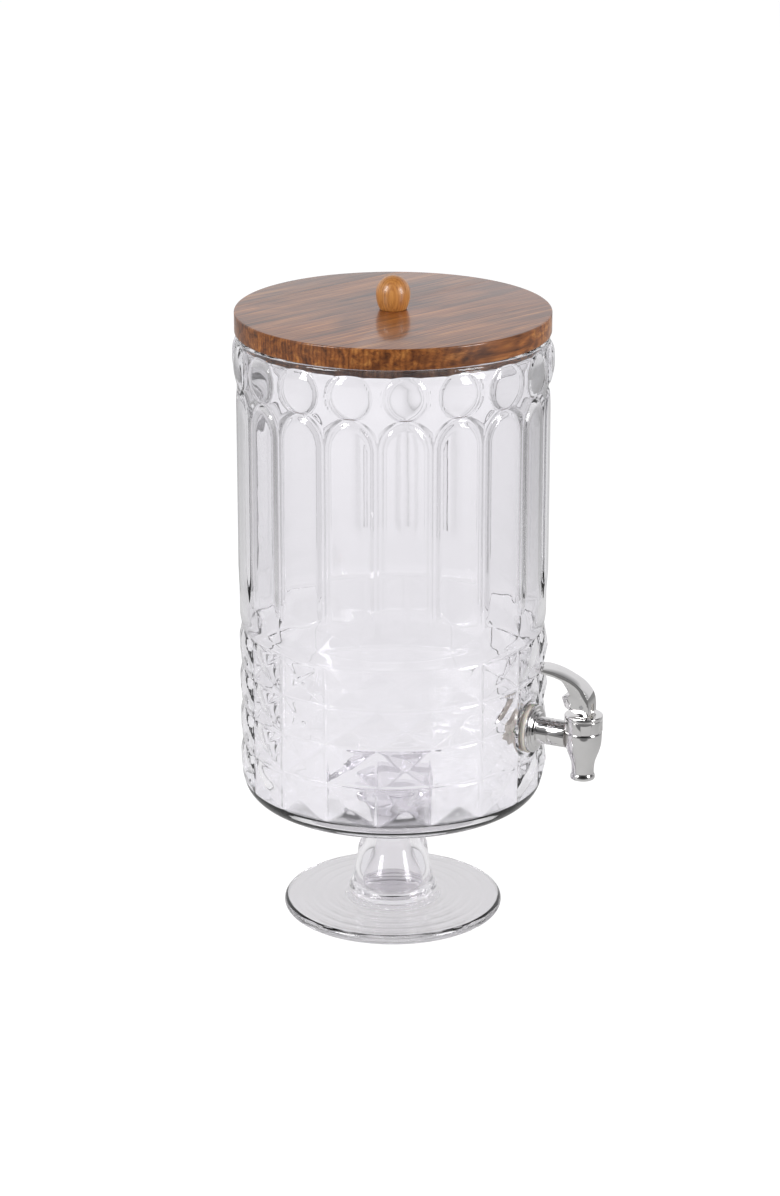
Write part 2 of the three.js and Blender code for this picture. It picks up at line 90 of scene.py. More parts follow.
def revolved(profile, segments):
    """Vertices and faces of a profile of (radius, height) turned about Z. A profile that doesn't start on
    the axis closes on itself."""
    verts, rows, faces = [], [], []
    turn = np.linspace(0, 2 * math.pi, segments, endpoint=False)
    for r, z in profile:
        if r < 1e-6:
            rows.append([len(verts)])
            verts.append((0, 0, z))
        else:
            rows.append(list(range(len(verts), len(verts) + segments)))
            verts.extend((r * math.sin(t), -r * math.cos(t), z) for t in turn)
    pairs = list(zip(rows, rows[1:]))
    if profile[0][0] > 1e-6:
        pairs.append((rows[-1], rows[0]))
    for low, high in pairs:
        for i in range(segments):
            j = (i + 1) % segments
            corners = [low[i % len(low)], low[j % len(low)], high[j % len(high)], high[i % len(high)]]
            unique = list(dict.fromkeys(corners))
            if len(unique) > 2:
                faces.append(unique)
    return verts, faces


def lathe(name, profile, segments=128, smooth_angle=35):
    return new_object(name, *revolved(profile, segments), smooth_angle)


def rounded(points, radii, steps=5):
    """The profile with its corners rounded. radii gives one radius per point, 0 for a sharp corner."""
    made = []
    for i, (point, radius) in enumerate(zip(points, radii)):
        p = np.array(point, float)
        if radius == 0 or i in (0, len(points) - 1):
            made.append(tuple(p))
            continue
        a, b = np.array(points[i - 1], float) - p, np.array(points[i + 1], float) - p
        reach = min(radius, 0.45 * np.linalg.norm(a), 0.45 * np.linalg.norm(b))
        start, end = p + a / np.linalg.norm(a) * reach, p + b / np.linalg.norm(b) * reach
        for t in np.linspace(0, 1, steps):
            made.append(tuple((1 - t) ** 2 * start + 2 * t * (1 - t) * p + t**2 * end))
    return made


def spline(points, count):
    """Points along a smooth curve through the given ones."""
    p = np.array(points, float)
    p = np.vstack([2 * p[0] - p[1], p, 2 * p[-1] - p[-2]])
    made = []
    spans = len(p) - 3
    for k in range(count):
        u = k / (count - 1) * spans
        i = min(int(u), spans - 1)
        t = u - i
        a, b, c, d = p[i : i + 4]
        square, cube = 2 * a - 5 * b + 4 * c - d, 3 * b - a - 3 * c + d
        made.append(0.5 * (2 * b + (c - a) * t + square * t**2 + cube * t**3))
    return [tuple(v) for v in made]


def bake(obj, smooth_angle=35):
    """Applies the object's modifiers."""
    view = bpy.context.evaluated_depsgraph_get()
    mesh = bpy.data.meshes.new_from_object(obj.evaluated_get(view))
    obj.modifiers.clear()
    obj.data = mesh
    soften(mesh, smooth_angle)
    return obj


def bevel(obj, width, segments=3, angle=30, smooth_angle=35):
    change = obj.modifiers.new("edge", "BEVEL")
    change.width = width * MM
    change.segments = segments
    change.limit_method = "ANGLE"
    change.angle_limit = math.radians(angle)
    change.harden_normals = False
    return bake(obj, smooth_angle)


def combine(obj, other, operation, smooth_angle=35):
    """Joins other to obj, or cuts it away, and removes other."""
    change = obj.modifiers.new("combine", "BOOLEAN")
    change.operation = operation
    change.solver = "EXACT"
    change.object = other
    bake(obj, smooth_angle)
    bpy.data.objects.remove(other)
    return obj


def along_tap(obj):
    """Lays a body made about Z along the tap's axis: its height becomes the distance out along -Y."""
    obj.data.transform(Matrix.Translation((0, 0, TAP_Z * MM)) @ Matrix.Rotation(math.radians(90), 4, "X"))
    return obj


def at_spout(obj):
    obj.data.transform(Matrix.Translation((0, -SPOUT_REACH * MM, 0)))
    return obj


def prism(name, start, end):
    """The body between two outlines that have the same number of corners."""
    n = len(start)
    faces = [list(range(n)), list(range(2 * n - 1, n - 1, -1))]
    faces += [[i, (i + 1) % n, n + (i + 1) % n, n + i] for i in range(n)]
    return new_object(name, start + end, faces)


def plate(name, outline, width):
    """An outline of (reach, height) in the tap's middle plane, made into a plate of that width across X."""
    left, right = ([(x, -s, z) for s, z in outline] for x in (-width / 2, width / 2))
    return prism(name, left, right)


def column(name, plan, low, high):
    """An outline of (x, y) made into an upright body from low to high."""
    return prism(name, [(x, y, low) for x, y in plan], [(x, y, high) for x, y in plan])


# ---------------------------------------------------------------- node helpers
class Nodes:
    """A small builder for a material's nodes."""

    def __init__(self, name):
        self.material = bpy.data.materials.new(name)
        self.material.use_nodes = True
        self.tree = self.material.node_tree
        self.shader = self.tree.nodes["Principled BSDF"]

    def add(self, kind, **values):
        node = self.tree.nodes.new(kind)
        for key, value in values.items():
            if hasattr(node, key):
                setattr(node, key, value)
            else:
                node.inputs[key.replace("_", " ")].default_value = value
        return node

    def link(self, source, target):
        self.tree.links.new(source, target)

    def coords(self, scale=(1, 1, 1), turn=(0, 0, 0), shift=(0, 0, 0)):
        where = self.add("ShaderNodeTexCoord")
        turned = self.add("ShaderNodeMapping", vector_type="POINT")
        turned.inputs["Rotation"].default_value = turn
        turned.inputs["Location"].default_value = shift
        stretched = self.add("ShaderNodeMapping", vector_type="POINT")
        stretched.inputs["Scale"].default_value = scale
        self.link(where.outputs["Object"], turned.inputs["Vector"])
        self.link(turned.outputs["Vector"], stretched.inputs["Vector"])
        return stretched.outputs["Vector"]

    def noise(self, vector, scale, detail=3.0, roughness=0.5, distortion=0.0):
        node = self.add("ShaderNodeTexNoise", Scale=scale, Detail=detail, Roughness=roughness)
        node.inputs["Distortion"].default_value = distortion
        self.link(vector, node.inputs["Vector"])
        return node.outputs["Fac"]

    def ramp(self, value, stops):
        node = self.add("ShaderNodeValToRGB")
        elements = node.color_ramp.elements
        while len(elements) < len(stops):
            elements.new(0.5)
        for element, (place, colour) in zip(elements, stops):
            element.position = place
            element.color = (*colour, 1)
        self.link(value, node.inputs["Fac"])
        return node.outputs["Color"]

    def spread(self, value, low, high):
        node = self.add("ShaderNodeMapRange")
        node.inputs["To Min"].default_value = low
        node.inputs["To Max"].default_value = high
        self.link(value, node.inputs["Value"])
        return node.outputs["Result"]

    def mix(self, factor, a, b, blend="MIX"):
        node = self.add("ShaderNodeMix", data_type="RGBA", blend_type=blend)
        colours = [s for s in node.inputs if s.type == "RGBA"]
        if hasattr(factor, "links"):
            self.link(factor, node.inputs[0])
        else:
            node.inputs[0].default_value = factor
        for socket, source in zip(colours, (a, b)):
            if hasattr(source, "links"):
                self.link(source, socket)
            else:
                socket.default_value = (*source, 1)
        return [s for s in node.outputs if s.type == "RGBA"][0]

    def bump(self, height, strength, distance):
        node = self.add("ShaderNodeBump", Strength=strength, Distance=distance)
        self.link(height, node.inputs["Height"])
        self.link(node.outputs["Normal"], self.shader.inputs["Normal"])

    def set(self, **values):
        for key, value in values.items():
            self.shader.inputs[key.replace("_", " ")].default_value = value


# ---------------------------------------------------------------- materials
def glass(name, tint):
    n = Nodes(name)
    where = n.coords()
    clearer = [min(1, c + 0.012) for c in tint]
    n.link(n.ramp(n.noise(where, 18, 2), [(0.3, tint), (0.7, clearer)]), n.shader.inputs["Base Color"])
    n.link(n.spread(n.noise(where, 60, 2), 0.0, 0.02), n.shader.inputs["Roughness"])
    n.bump(n.noise(where, 55, 2, 0.45), 0.06, 0.0006)
    n.set(Transmission_Weight=1.0, IOR=1.51)
    return n.material


ALONG_GRAIN = -GRAIN_ANGLE
RING_SCALE, RING_STRETCH = 24, (1.4, 6, 6)


def wood(name, dark, middle, light, shift, gloss):
    """Varnished boards: rings, streaks, pores and darker patches, all drawn out along the grain."""
    n = Nodes(name)
    turned = (0, 0, ALONG_GRAIN)
    along = n.coords(scale=RING_STRETCH, turn=turned, shift=shift)
    figure = n.add("ShaderNodeTexWave", wave_type="BANDS", bands_direction="Y", wave_profile="SIN")
    for key, value in (("Scale", RING_SCALE), ("Distortion", 7.0), ("Detail", 3.0), ("Detail Scale", 0.7)):
        figure.inputs[key].default_value = value
    n.link(along, figure.inputs["Vector"])
    streaks = n.noise(n.coords(scale=(4, 70, 70), turn=turned, shift=shift), 3.2, 6, 0.62, 0.6)
    fibres = n.noise(n.coords(scale=(22, 900, 900), turn=turned, shift=shift), 1.0, 3, 0.6)
    slanted = n.coords(scale=(14, 34, 34), turn=(0, 0.35, ALONG_GRAIN), shift=shift)
    patches = n.noise(slanted, 1.0, 3, 0.5, 0.8)
    base = n.ramp(streaks, [(0.28, dark), (0.5, middle), (0.72, light)])
    ring_stops = [(0.0, (0.62, 0.56, 0.52)), (0.55, (1, 1, 1)), (1.0, (1.12, 1.1, 1.08))]
    rings = n.ramp(figure.outputs["Fac"], ring_stops)
    shade = n.ramp(patches, [(0.36, (0.5, 0.42, 0.36)), (0.62, (1.15, 1.15, 1.15))])
    pores = n.ramp(fibres, [(0.36, (0.45, 0.38, 0.34)), (0.46, (1, 1, 1))])
    colour = n.mix(0.75, base, rings, "MULTIPLY")
    colour = n.mix(0.85, colour, shade, "MULTIPLY")
    colour = n.mix(0.6, colour, pores, "MULTIPLY")
    n.link(colour, n.shader.inputs["Base Color"])
    n.link(n.spread(fibres, gloss + 0.12, gloss), n.shader.inputs["Roughness"])
    n.bump(fibres, 0.12, 0.0002)
    n.set(Coat_Weight=0.55, Coat_Roughness=0.1, Coat_IOR=1.5, IOR=1.45)
    return n.material


def metal(name, colour, rough, wave=0.04):
    n = Nodes(name)
    where = n.coords()
    bright = [min(1.0, c * 1.04) for c in colour]
    n.link(n.ramp(n.noise(where, 160, 3), [(0.3, colour), (0.7, bright)]), n.shader.inputs["Base Color"])
    n.link(n.spread(n.noise(where, 420, 2), rough * 0.7, rough * 1.3), n.shader.inputs["Roughness"])
    n.bump(n.noise(where, 90, 2), wave, 0.0003)
    n.set(Metallic=1.0)
    return n.material


def silicone(name, colour):
    n = Nodes(name)
    where = n.coords()
    paler = [min(1.0, c * 1.15) for c in colour]
    n.link(n.ramp(n.noise(where, 90, 4), [(0.3, colour), (0.7, paler)]), n.shader.inputs["Base Color"])
    n.link(n.spread(n.noise(where, 300, 2), 0.32, 0.5), n.shader.inputs["Roughness"])
    n.bump(n.noise(where, 700, 2), 0.1, 0.0002)
    n.set(Subsurface_Weight=0.12, Subsurface_Scale=0.002)
    return n.material


def plastic(name, colour):
    n = Nodes(name)
    where = n.coords()
    paler = [min(1.0, c * 1.05) for c in colour]
    n.link(n.ramp(n.noise(where, 120, 3), [(0.3, colour), (0.7, paler)]), n.shader.inputs["Base Color"])
    n.link(n.spread(n.noise(where, 500, 2), 0.28, 0.4), n.shader.inputs["Roughness"])
    n.bump(n.noise(where, 900, 2), 0.06, 0.0002)
    return n.material


GLASS_TINT = (0.952, 0.943, 0.966)
STEM_TINT = (0.87, 0.858, 0.88)
# The foot's tint is partly its thick glass and partly painted shade: it is darkened further to stand in for
# the shadow on the floor under the foot.
FOOT_TINT_AND_PAINTED_SHADE = (0.745, 0.731, 0.752)
jar_glass = glass("jar_glass", GLASS_TINT)
stem_glass = glass("stem_glass", STEM_TINT)
foot_glass = glass("foot_glass", FOOT_TINT_AND_PAINTED_SHADE)
chrome = metal("tap_chrome", (0.74, 0.73, 0.725), 0.035)
steel = metal("steel", (0.62, 0.62, 0.63), 0.22, 0.1)
gasket_silicone = silicone("gasket_silicone", (0.9, 0.82, 0.73))
nut_plastic = plastic("nut_plastic", (0.9, 0.84, 0.76))
white_plastic = plastic("white_plastic", (0.8, 0.79, 0.76))
# Each board's dark, middle and light tones, and the shift that gives it grain of its own.
STAVE_WOODS = [
    ((0.075, 0.022, 0.006), (0.3, 0.1, 0.022), (0.56, 0.24, 0.06), (0.31, 0.02, 0.0)),
    ((0.07, 0.022, 0.006), (0.28, 0.09, 0.02), (0.52, 0.21, 0.05), (1.13, 0.41, 0.2)),
    ((0.06, 0.02, 0.006), (0.3, 0.105, 0.026), (0.52, 0.21, 0.055), (2.41, 0.77, 0.1)),
    ((0.06, 0.022, 0.007), (0.24, 0.085, 0.022), (0.46, 0.2, 0.055), (3.29, 1.13, 0.3)),
]


# ---------------------------------------------------------------- jar
def smooth_step(x, low, high):
    t = np.clip((x - low) / (high - low), 0, 1)
    return t * t * (3 - 2 * t)


def soft_max(a, b, sharpness):
    return np.log(np.exp(a * sharpness) + np.exp(b * sharpness)) / sharpness


PYRAMID_HEIGHT, PYRAMID_SHARPNESS = 2.3, 30
RIDGE_HEIGHT, RIDGE_WIDTH, CELL_HALF = 0.05, 0.55, 12
CELL_GROOVE, CELL_GROOVE_WIDTH = 0.38, 0.65
GRID_FADE = 1.2
PLAIN_HEIGHT, PLAIN_RUN_IN = 1.0, 8
FLUTE_HALF_WIDTH, FLUTE_GROOVE, FLUTE_CROWN = 13.3, 1.4, 0.9
FLUTE_GROOVE_WIDTH, FLUTE_RUN_IN = 1.6, 16
MEDALLION_HEIGHT, MEDALLION_FULLNESS = 1.9, 0.6
MOAT_DEPTH, MOAT_WIDTH = 0.3, 0.07
SHOULDER_HEIGHT = 0.9
# The pattern ends below the rim, which is plain.
PATTERN_END, RIM_START, WALL_TOP = 331.5, 334, 334.5


def embossing(turn, z):
    """How far the pressed pattern stands out of the body radius, for arrays of azimuth and height."""
    cell = turn * PANELS / (2 * math.pi)
    across = np.abs(cell - np.round(cell)) * 2
    half_panel = math.pi * BODY_RADIUS / PANELS
    x = across * half_panel

    row = (z - GRID_BOTTOM) / ROW_HEIGHT
    along = np.abs((row % 1) * 2 - 1)
    pyramid = PYRAMID_HEIGHT * (1 - soft_max(across, along, PYRAMID_SHARPNESS))
    edge = np.minimum((1 - across) * half_panel, (1 - along) * ROW_HEIGHT / 2)
    pyramid += RIDGE_HEIGHT * np.exp(-(((across - along) * CELL_HALF / RIDGE_WIDTH) ** 2))
    pyramid -= CELL_GROOVE * np.exp(-((edge / CELL_GROOVE_WIDTH) ** 2))
    in_grid = smooth_step(z, GRID_BOTTOM - GRID_FADE, GRID_BOTTOM)
    in_grid = in_grid * (1 - smooth_step(z, GRID_TOP, GRID_TOP + GRID_FADE))

    plain = PLAIN_HEIGHT * smooth_step(z, GRID_TOP, GRID_TOP + PLAIN_RUN_IN)
    rise = np.clip((z - ARCH_SPRING) / (ARCH_TOP - ARCH_SPRING), 0, None)
    reach = np.sqrt((x / FLUTE_HALF_WIDTH) ** 2 + rise**2)
    taper = smooth_step(z, FLUTE_BOTTOM, FLUTE_BOTTOM + FLUTE_RUN_IN)
    depth = (1 - reach) * FLUTE_HALF_WIDTH
    groove_width = FLUTE_GROOVE_WIDTH * (0.3 + 0.7 * taper)
    groove = -FLUTE_GROOVE * taper * np.exp(-((depth / groove_width) ** 2))
    crown = FLUTE_CROWN * np.clip(1 - reach**2, 0, 1) * taper
    flutes = plain + groove + np.where(depth > 0, crown, 0)

    lens_x = x / MEDALLION_WIDE
    lens_z = (z - MEDALLION_Z) / MEDALLION_TALL
    lens = np.clip(1 - lens_x**2 - lens_z**2, 0, 1)
    moat = np.exp(-((np.sqrt(lens_x**2 + lens_z**2) - 1) / MOAT_WIDTH) ** 2)
    medallions = MEDALLION_HEIGHT * lens**MEDALLION_FULLNESS - MOAT_DEPTH * moat
    shoulder = SHOULDER_HEIGHT * smooth_step(z, ARCH_TOP, MEDALLION_Z)
    shoulder = shoulder * (1 - smooth_step(z, MEDALLION_Z + 6, 333))
    below_rim = 1 - smooth_step(z, PATTERN_END, RIM_START)
    body = np.where(z < ARCH_TOP + 1.5, flutes, plain)
    above = smooth_step(z, ARCH_TOP - 2, ARCH_TOP + 2)
    return pyramid * in_grid + body * (z > GRID_TOP) + (medallions + shoulder) * above * below_rim


def wall_heights():
    """Rows of vertices up the wall: close together where the pattern is fine."""
    rows = list(np.arange(GRID_BOTTOM, GRID_TOP, ROW_HEIGHT / 24))
    rows += list(np.linspace(GRID_TOP, FLUTE_BOTTOM, 12, endpoint=False))
    flute_ends, arches = FLUTE_BOTTOM + 18, ARCH_SPRING - 4
    rows += list(np.linspace(FLUTE_BOTTOM, flute_ends, 14, endpoint=False))
    rows += list(np.linspace(flute_ends, arches, 22, endpoint=False))
    rows += list(np.linspace(arches, WALL_TOP, 62))
    return np.array(rows)


COLUMNS = PANELS * 28
INNER_CORNER = 9.0
# The bore carries a blurred share of the pattern, between these heights.
INNER_SHARE, BLUR_PASSES, INNER_START, INNER_END = 0.34, 10, (88, 96), (330, 334)
# The tap's flat pad ends, and the pattern starts again, over these distances from its middle.
PAD_EDGE = (PAD_RADIUS - 0.6, PAD_RADIUS + 0.9)
PAD_CLEARING = (PAD_RADIUS + 1.5, PAD_RADIUS + 6)
CLEARING_HEIGHT = 0.4
# The floor's upper side rises a little towards the middle: (radius, height).
JAR_FLOOR_RISE = [(66, 0.0), (56, 0.2), (44, 0.8), (32, 1.6), (18, 2.4), (8, 2.8), (0, 3.0)]


def make_jar(columns=COLUMNS):
    """The jar as one closed skin: up the outside from the middle of its base, over the lip, down the bore
    and across the floor, with a hole through the wall for the tap."""
    turn = np.arange(columns) / columns * 2 * math.pi
    heights = wall_heights()
    count = len(heights)
    t, z = np.meshgrid(turn, heights)
    outer = BODY_RADIUS + embossing(t, z)
    soft = INNER_SHARE * embossing(t, z)
    for _ in range(BLUR_PASSES):
        soft = (np.roll(soft, 1, 1) + 2 * soft + np.roll(soft, -1, 1)) / 4
        soft[1:-1] = (soft[:-2] + 2 * soft[1:-1] + soft[2:]) / 4
    inner = BORE_RADIUS + soft * smooth_step(z, *INNER_START) * (1 - smooth_step(z, *INNER_END))

    # The tap's pad: flat inside and out, and round, in a ring of outer wall without pattern.
    from_tap = np.where(np.cos(t) > 0, np.hypot(BODY_RADIUS * np.sin(t), z - TAP_Z), 999)
    plain = 1 - smooth_step(from_tap, *PAD_CLEARING)
    outer = outer * (1 - plain) + plain * (BODY_RADIUS + CLEARING_HEIGHT)
    pad = 1 - smooth_step(from_tap, *PAD_EDGE)
    ahead = np.maximum(np.cos(t), 0.2)
    outer = outer * (1 - pad) + pad * PAD_OUTER / ahead
    inner = inner * (1 - pad) + pad * PAD_INNER / ahead

    rows = []

    def ring(radius, height):
        rows.append((np.full(columns, float(radius)), np.full(columns, float(height))))

    def arc(radius, low, size, angle):
        """A point on a round corner of that size, whose flat sides are at radius and low."""
        a = math.radians(angle)
        return radius - size + size * math.cos(a), low + size + size * math.sin(a)

    for radius, height in spline([(x, JAR_BOTTOM) for x in (0, 20, 45, 66)], 10):
        ring(max(radius, 0), height)
    for angle in np.linspace(-86, -14, 12):
        ring(*arc(BODY_RADIUS, JAR_BOTTOM, CORNER, angle))
    first_outer = len(rows)
    rows += [(outer[i], np.full(columns, heights[i])) for i in range(count)]
    lip = 0.5 * (outer[-1] + inner[-1])
    half = 0.5 * (outer[-1] - inner[-1])
    for a in np.radians(np.linspace(15, 165, 9)):
        rise = (JAR_TOP - heights[-1]) * math.sin(a)
        rows.append((lip + half * math.cos(a), np.full(columns, heights[-1] + rise)))
    last_inner = len(rows) + count - 1
    rows += [(inner[i], np.full(columns, heights[i])) for i in range(count - 1, -1, -1)]
    for angle in np.linspace(-8, -88, 8):
        radius, height = arc(BORE_RADIUS, JAR_FLOOR, INNER_CORNER, angle)
        if height <= heights[0] - 0.5:
            ring(radius, height)
    for radius, rise in JAR_FLOOR_RISE:
        ring(radius, JAR_FLOOR + rise)

    verts, index = [], []
    for r, h in rows:
        if r[0] < 1e-6:
            index.append(np.full(columns, len(verts)))
            verts.append((0, 0, h[0]))
        else:
            index.append(np.arange(columns) + len(verts))
            verts.extend(zip(r * np.sin(turn), -r * np.cos(turn), h))
    verts = np.array(verts)

    # The hole for the tap: quads inside it are left out on both sides of the wall, the edge is drawn
    # onto a true circle, and the two edges are bridged.
    inside = np.hypot(BODY_RADIUS * np.sin(t), z - TAP_Z) < WALL_HOLE - 0.2
    inside &= np.cos(t) > 0
    gone = inside[:-1] | inside[1:]
    gone = gone | np.roll(gone, -1, 1)
    faces = []
    for k in range(len(rows) - 1):
        low, high = index[k], index[k + 1]
        wall_row = k - first_outer
        if not 0 <= wall_row < count - 1:
            wall_row = last_inner - k - 1
        on_wall = 0 <= wall_row < count - 1
        for i in range(columns):
            if on_wall and gone[wall_row, i]:
                continue
            j = (i + 1) % columns
            corners = list(dict.fromkeys((low[i], low[j], high[j], high[i])))
            faces.append([int(c) for c in corners])

    def wall(i, j, side):
        row = first_outer + i if side == 0 else last_inner - i
        return int(index[row][j % columns])

    edge = set()
    for i, j in zip(*np.nonzero(gone)):
        around = [((i, j), (i, j + 1), (i - 1, j)), ((i + 1, j + 1), (i + 1, j), (i + 1, j))]
        around += [((i + 1, j), (i, j), (i, j - 1)), ((i, j + 1), (i + 1, j + 1), (i, j + 1))]
        for a, b, across in around:
            if gone[across[0], across[1] % columns]:
                continue
            faces.append([wall(*a, 0), wall(*b, 0), wall(*b, 1), wall(*a, 1)])
            edge.update([a, b])
    for i, j in edge:
        for side in (0, 1):
            v = verts[wall(i, j, side)]
            away = np.array([v[0], v[2] - TAP_Z])
            away *= WALL_HOLE / np.linalg.norm(away)
            v[0], v[2] = away[0], TAP_Z + away[1]
            v[1] = -(PAD_OUTER, PAD_INNER)[side]
    return new_object("jar_glass", verts, faces, 60)


jar = make_jar()
jar.data.materials.append(jar_glass)
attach(jar, "vessel")
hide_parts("jar")

# ---------------------------------------------------------------- stem and foot
STEM_TOP = 69.9
flare = [(24.4, 9.6), (24.9, 11.4), (23.6, 13.2), (22.9, 15.4), (21.9, 20), (20.7, 26)]
waist = [(19.3, 37.5), (18.6, 47), (19.8, 57), (23.5, 65), (29, STEM_TOP)]
STEM_OUTSIDE = spline(flare + waist, 60)
hollow_top = [(12, STEM_TOP), (9.6, 62), (9.0, 52), (9.8, 38), (13.6, 26)]
hollow_base = [(16.6, 17), (16.4, 12.4), (13, 10.3), (8, 9.8)]
STEM_INSIDE = spline(hollow_top + hollow_base, 44)
stem_profile = [(0, 9.7), (8, 9.75)] + STEM_INSIDE[::-1][1:] + STEM_OUTSIDE[::-1] + [(23.6, 8.3), (0, 8.1)]
stem = lathe("pedestal_stem_glass", stem_profile, 160, 50)
stem.data.materials.append(stem_glass)
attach(stem, "vessel")
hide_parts("pedestal_stem")


FOOT_RADIUS, FOOT_EDGE = 61.7, 2.8
SLOPE_OUTER, SLOPE_INNER, SLOPE_LOW, SLOPE_RISE, SLOPE_BEND = 59, 27.5, 5.5, 1.3, 1.3


def foot_profile():
    """A flat underside, a rolled edge and a top that rises to the stem, with faint ripples."""
    top = []
    for r in np.linspace(SLOPE_OUTER, SLOPE_INNER, 44):
        ripple = 0.035 * math.sin(r * 0.95) + 0.02 * math.sin(r * 1.9 + 1)
        top.append((r, SLOPE_LOW + SLOPE_RISE * ((SLOPE_OUTER - r) / 32) ** SLOPE_BEND + ripple))
    edge = []
    for a in np.linspace(-1.45, 1.35, 16):
        edge.append((FOOT_RADIUS - FOOT_EDGE + FOOT_EDGE * math.cos(a), FOOT_EDGE + FOOT_EDGE * math.sin(a)))
    inner = [(26.4, 7.3), (25.4, 7.8), (24.2, 8.02), (12, 8.02), (0, 8.02)]
    return [(0, 0.0), (20, 0.0), (40, 0.0), (57, 0.0)] + edge + top + inner


foot = lathe("pedestal_foot_glass", foot_profile(), 240, 50)
foot.data.materials.append(foot_glass)
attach(foot, "vessel")
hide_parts("pedestal_foot")


# ---------------------------------------------------------------- lid
LID_EDGE_RADIUS, JOINT_HALF_GAP = 0.9, 0.05


def make_stave(number):
    """One of the lid's glued boards: the whole disc, cut off at the joints on both of its sides."""
    e = LID_EDGE_RADIUS
    disc = [(0, LID_BOTTOM), (LID_RADIUS, LID_BOTTOM), (LID_RADIUS, LID_TOP), (0, LID_TOP)]
    board = rounded(disc, [0, e, e, 0], 7)
    obj = lathe(f"lid_stave_{number + 1}_wood", board, 320)
    work = bmesh.new()
    work.from_mesh(obj.data)
    across = Vector((-math.sin(GRAIN_ANGLE), math.cos(GRAIN_ANGLE), 0))
    cuts = []
    if number > 0:
        cuts.append((STAVE_JOINTS[number - 1] + JOINT_HALF_GAP, -1))
    if number < len(STAVE_JOINTS):
        cuts.append((STAVE_JOINTS[number] - JOINT_HALF_GAP, 1))
    for offset, side in cuts:
        geometry = work.verts[:] + work.edges[:] + work.faces[:]
        cut = bmesh.ops.bisect_plane(
            work, geom=geometry, plane_co=across * offset * MM, plane_no=across * side, clear_outer=True
        )
        edges = [g for g in cut["geom_cut"] if isinstance(g, bmesh.types.BMEdge)]
        bmesh.ops.contextual_create(work, geom=edges)
    bmesh.ops.recalc_face_normals(work, faces=work.faces)
    work.to_mesh(obj.data)
    work.free()
    soften(obj.data, 35)
    obj.data.materials.append(wood(f"stave_{number + 1}_wood", *STAVE_WOODS[number], gloss=0.32))
    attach(obj, "lid")
    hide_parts(f"lid_stave_{number + 1}")


for number in range(len(STAVE_JOINTS) + 1):
    make_stave(number)

plug_tones = [(0.06, 0.026, 0.012), (0.17, 0.075, 0.035), (0.33, 0.16, 0.075)]
plug_wood = wood("plug_wood", *plug_tones, (5, 2, 0), gloss=0.4)
PLUG_RADIUS, PLUG_BOTTOM, PLUG_TOP = 79.6, 331.3, 336.75
SINK_RADIUS, SINK_TOP, SCREW_HOLE = 4.4, 334.0, 2.3
plug_corners = [(SINK_RADIUS, PLUG_BOTTOM), (PLUG_RADIUS, PLUG_BOTTOM), (PLUG_RADIUS, PLUG_TOP)]
plug_corners += [(SCREW_HOLE, PLUG_TOP), (SCREW_HOLE, SINK_TOP), (SINK_RADIUS, PLUG_BOTTOM)]
plug = lathe("lid_plug_wood", rounded(plug_corners, [0, 0.9, 0.3, 0, 0, 0])[:-1], 256)
plug.data.materials.append(plug_wood)
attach(plug, "lid")
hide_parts("lid_plug")


def knob_profile():
    """A ball with a narrower flat base that rests on the lid."""
    base, widest, top, radius = 348.45, 357.2, 367.0, 9.3
    base_radius, chamfer = 7.2, 0.4
    stretch = (widest - base) / math.sqrt(1 - (base_radius / radius) ** 2)
    profile = [(0, base), (base_radius - chamfer, base)]
    for z in np.linspace(base + 0.15, widest, 18):
        profile.append((radius * math.sqrt(1 - ((widest - z) / stretch) ** 2), z))
    for a in np.linspace(4, 90, 20):
        r = radius * math.cos(math.radians(a))
        profile.append((r if a < 90 else 0, widest + (top - widest) * math.sin(math.radians(a))))
    return profile


def knob_wood():
    """Pale turned wood: fibres run up the ball, so its sides show grain and its top shows rings."""
    n = Nodes("knob_wood")
    rings = n.add("ShaderNodeTexWave", wave_type="RINGS", rings_direction="Z", wave_profile="SIN")
    for key, value in (("Scale", 190.0), ("Distortion", 2.2), ("Detail", 3.0), ("Detail Scale", 1.5)):
        rings.inputs[key].default_value = value
    n.link(n.coords(scale=(1, 1, 0.25), shift=(0.011, 0.004, 0)), rings.inputs["Vector"])
    fibres = n.noise(n.coords(scale=(1, 1, 0.08)), 900, 4, 0.6)
    tone = n.noise(n.coords(scale=(1, 1, 0.3)), 120, 3)
    base = n.ramp(tone, [(0.3, (0.5, 0.2, 0.045)), (0.7, (0.68, 0.32, 0.09))])
    lines = n.ramp(rings.outputs["Fac"], [(0.0, (0.72, 0.62, 0.55)), (0.6, (1, 1, 1))])
    pores = n.ramp(fibres, [(0.36, (0.6, 0.5, 0.42)), (0.5, (1, 1, 1))])
    colour = n.mix(0.6, base, lines, "MULTIPLY")
    n.link(n.mix(0.6, colour, pores, "MULTIPLY"), n.shader.inputs["Base Color"])
    n.link(n.spread(fibres, 0.5, 0.36), n.shader.inputs["Roughness"])
    n.bump(fibres, 0.12, 0.0002)
    n.set(Coat_Weight=0.5, Coat_Roughness=0.18)
    return n.material


knob = lathe("lid_knob_wood", knob_profile(), 128)
knob.data.materials.append(knob_wood())
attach(knob, "lid")
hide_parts("lid_knob")


# ---------------------------------------------------------------- tap
TAP_SEAM, SEAM_HALF_GAP, SHANK_END = 96.8, 0.03, 69.5
PASSAGE, THREAD_RADIUS, BARREL_RADIUS, SEAM_RADIUS = 4.3, 7.7, 7.4, 6.9
FLANGE_RADIUS, GASKET_THICKNESS = 13.1, 2.4


